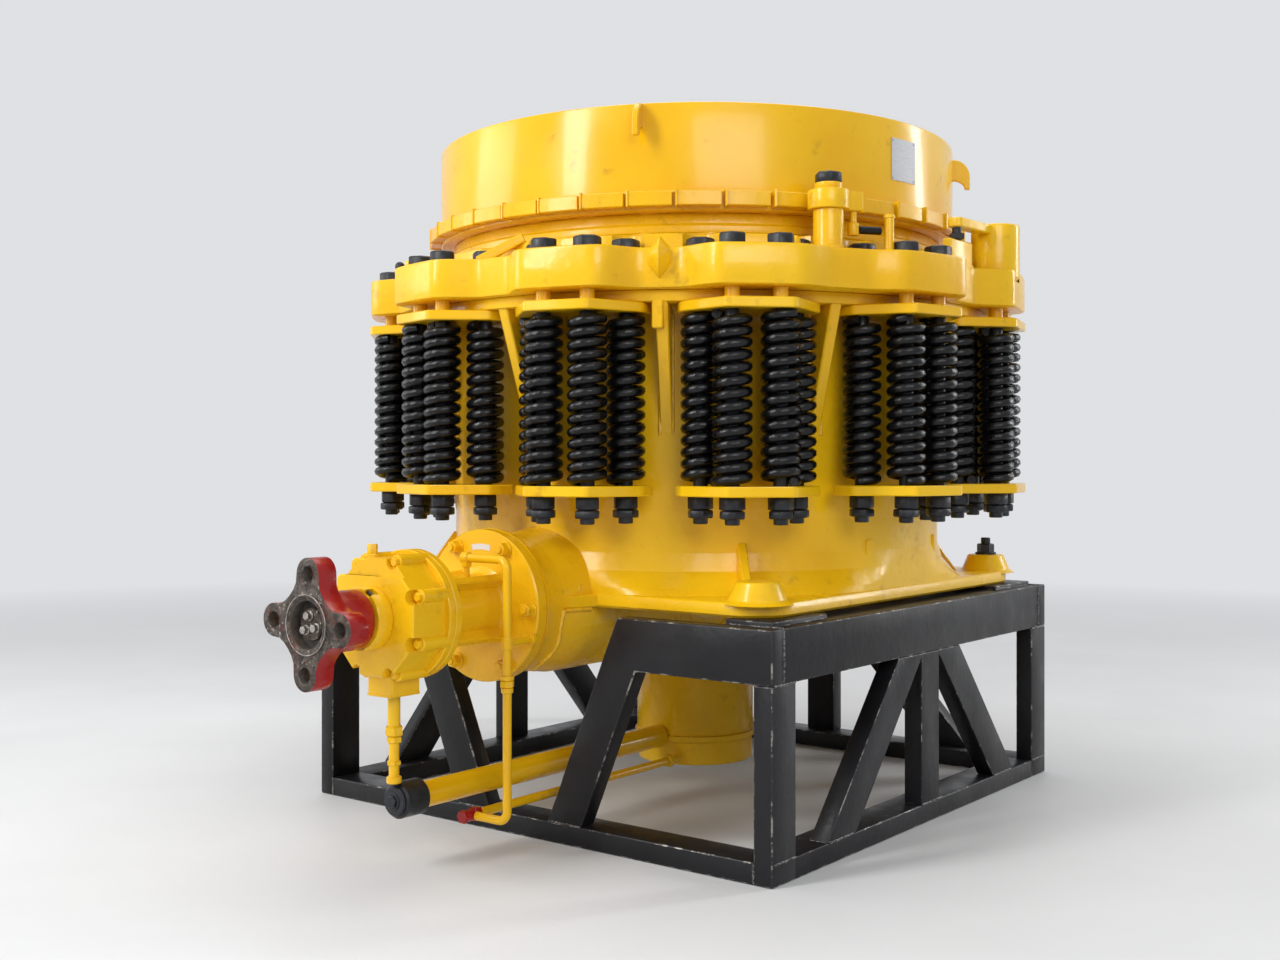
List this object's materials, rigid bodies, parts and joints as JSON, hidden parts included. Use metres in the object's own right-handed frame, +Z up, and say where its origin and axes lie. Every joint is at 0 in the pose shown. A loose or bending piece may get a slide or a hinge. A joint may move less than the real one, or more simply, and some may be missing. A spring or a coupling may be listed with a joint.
{
  "type": "spring cone crusher",
  "caption": "Spring cone crusher on a welded stand, with an adjustable bowl and a countershaft drive.",
  "frame": {"origin": "middle of the footprint at floor level, under the centre of the bounding box", "axes": "+Z up; the countershaft and its coupling point along -Y; +X to the right seen from the coupling"},
  "size_m": [1.859, 2.3744, 1.821],
  "materials": {
    "yellow_paint": "gloss yellow machine enamel over castings",
    "black_paint": "gloss black enamel on coil springs and nuts",
    "stand_paint": "satin black paint, worn bright along edges and welds",
    "red_paint": "deep red paint, worn to bare metal on the coupling face",
    "bare_steel": "bare machined steel",
    "wear_iron": "unpainted manganese steel casting"
  },
  "bodies": {
    "frame": {"adjustment_ring": "yellow_paint", "clamping_cylinder": "yellow_paint", "countershaft_housing": "yellow_paint", "drain_elbow": "black_paint", "drain_pipe": "yellow_paint", "drain_valve": "red_paint", "end_housing": "yellow_paint", "feed_plate": "wear_iron", "frame_hub": "yellow_paint", "hub_oil_cap": "yellow_paint", "locking_post": "yellow_paint", "main_frame": "yellow_paint", "mantle": "wear_iron", "return_pipe": "yellow_paint", "seal_collar": "yellow_paint", "spring_pack_01": "black_paint", "spring_pack_02": "black_paint", "spring_pack_03": "black_paint", "spring_pack_04": "black_paint", "spring_pack_05": "black_paint", "spring_pack_06": "black_paint", "spring_pack_07": "black_paint", "spring_pack_08": "black_paint", "spring_pack_09": "black_paint", "spring_pack_10": "black_paint", "spring_pack_11": "black_paint", "spring_pack_12": "black_paint", "stand_bottom_rail_back": "stand_paint", "stand_bottom_rail_front": "stand_paint", "stand_bottom_rail_left": "stand_paint", "stand_bottom_rail_right": "stand_paint", "stand_brace_back": "stand_paint", "stand_brace_left": "stand_paint", "stand_brace_right": "stand_paint", "stand_front_leg_left": "stand_paint", "stand_front_leg_right": "stand_paint", "stand_post_back_left": "stand_paint", "stand_post_back_right": "stand_paint", "stand_post_front_left": "stand_paint", "stand_post_front_right": "stand_paint", "stand_top_rail_back": "stand_paint", "stand_top_rail_left": "stand_paint", "stand_top_rail_right": "stand_paint", "stop_post": "yellow_paint", "supply_pipe": "yellow_paint", "thin_pipe": "yellow_paint"},
    "bowl_lift": {"bowl_liner": "wear_iron"},
    "bowl_turn": {"bowl": "yellow_paint", "adjustment_cap": "yellow_paint", "feed_hopper": "yellow_paint"},
    "pawl": {"locking_pawl": "yellow_paint", "pawl_rod": "black_paint"},
    "drive": {"countershaft": "bare_steel", "drive_coupling": "red_paint"}
  },
  "joints": [
    {"name": "countershaft_spin", "type": "hinge", "parent": "frame", "child": "drive", "pos_m": [0, -1.18723, 0.59], "axis": [0, -1, 0], "continuous": true},
    {"name": "bowl_rise", "type": "slide", "parent": "frame", "child": "bowl_lift", "axis": [0, 0, 1], "range_m": [0, 0.02]},
    {"name": "bowl_turn", "type": "hinge", "parent": "bowl_lift", "child": "bowl_turn", "pos_m": [0, 0.25777, 1.821], "axis": [0, 0, 1], "range_deg": [0, 360]},
    {"name": "pawl_swing", "type": "hinge", "parent": "frame", "child": "pawl", "pos_m": [0.71236, -0.18736, 1.594], "axis": [0, 0, 1], "range_deg": [-15, 25]}
  ],
  "couplings": [
    {"joint": "bowl_rise", "follows": "bowl_turn", "m_per_rad": 0.0031831}
  ]
}
